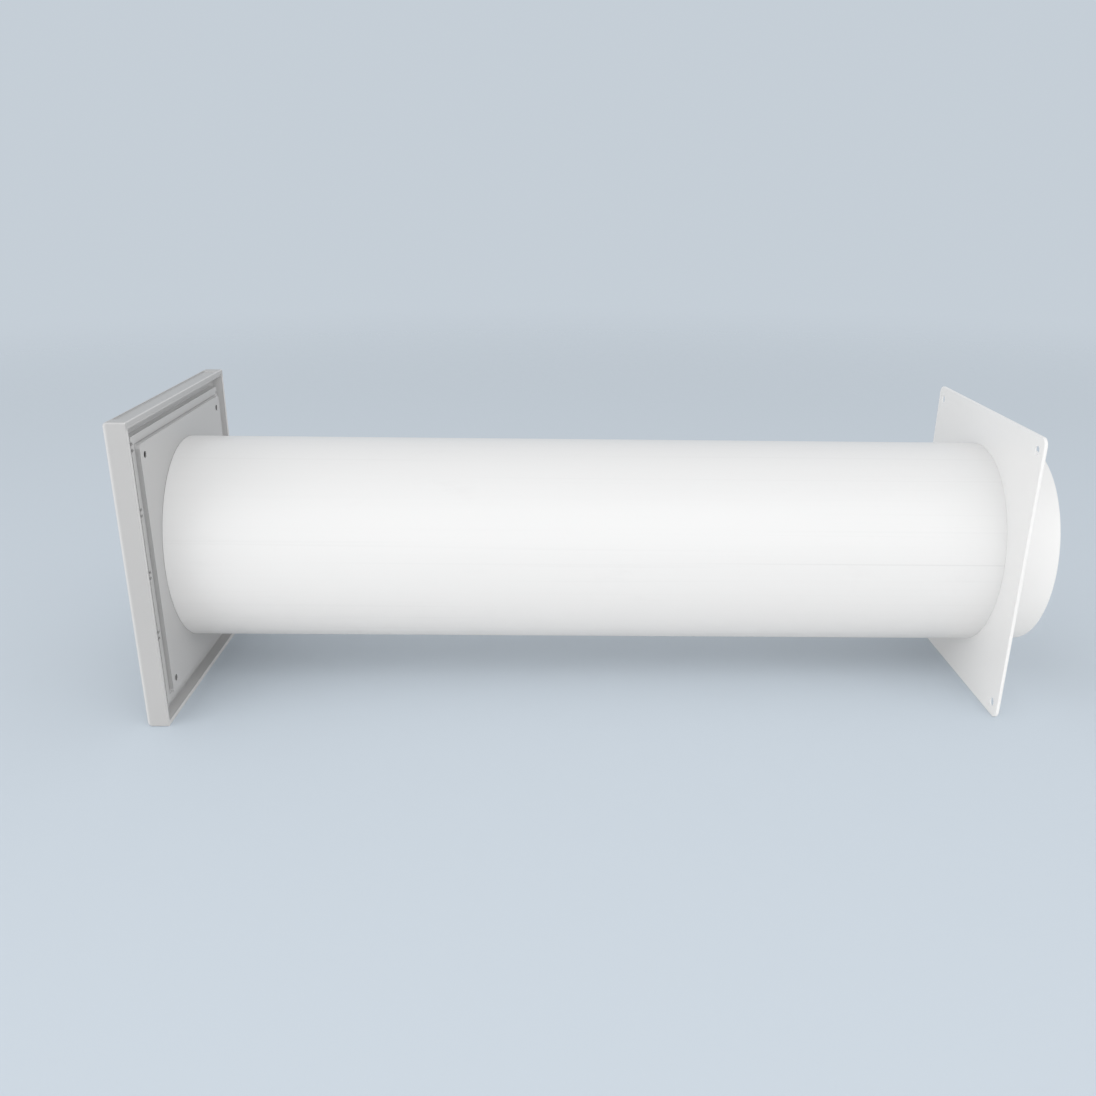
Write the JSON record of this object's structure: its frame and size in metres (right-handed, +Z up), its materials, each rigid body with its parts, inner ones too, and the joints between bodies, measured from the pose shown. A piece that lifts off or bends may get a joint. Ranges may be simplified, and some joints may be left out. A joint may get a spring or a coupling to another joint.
{
  "type": "wall vent sleeve",
  "caption": "Through-wall vent sleeve: a round plastic tube with a square gravity-louvre shutter at its outdoor end and a square flange with a duct spigot at its room end.",
  "frame": {"origin": "on the tube's axis, in the plane of the outer wall's face, where the cover's back rim lies", "axes": "+X along the tube from the outdoor shutter to the room, +Z up, +Y across the wall"},
  "size_m": [0.5376, 0.18, 0.18],
  "materials": {
    "white_pipe": "satin white extruded plastic pipe",
    "white_moulding": "satin white moulded plastic",
    "grey_base": "light grey moulded plastic, fine matte grain",
    "grey_cover": "light grey moulded plastic, fine matte grain",
    "grey_louvre": "light grey moulded plastic, fine matte grain"
  },
  "bodies": {
    "sleeve": {"tube": "white_pipe", "inner_flange": "white_moulding", "shutter_base": "grey_base", "shutter_cover": "grey_cover"},
    "flap_1": {"louvre_1": "grey_louvre"},
    "flap_2": {"louvre_2": "grey_louvre"},
    "flap_3": {"louvre_3": "grey_louvre"},
    "flap_4": {"louvre_4": "grey_louvre"}
  },
  "joints": [
    {"name": "louvre_1_swing", "type": "hinge", "parent": "sleeve", "child": "flap_1", "pos_m": [-0.0084, 0, 0.07435], "axis": [0, 1, 0], "range_deg": [0, 65]},
    {"name": "louvre_2_swing", "type": "hinge", "parent": "sleeve", "child": "flap_2", "pos_m": [-0.0084, 0, 0.03761], "axis": [0, 1, 0], "range_deg": [0, 65]},
    {"name": "louvre_3_swing", "type": "hinge", "parent": "sleeve", "child": "flap_3", "pos_m": [-0.0084, 0, 0.00087], "axis": [0, 1, 0], "range_deg": [0, 65]},
    {"name": "louvre_4_swing", "type": "hinge", "parent": "sleeve", "child": "flap_4", "pos_m": [-0.0084, 0, -0.03586], "axis": [0, 1, 0], "range_deg": [0, 65]}
  ]
}
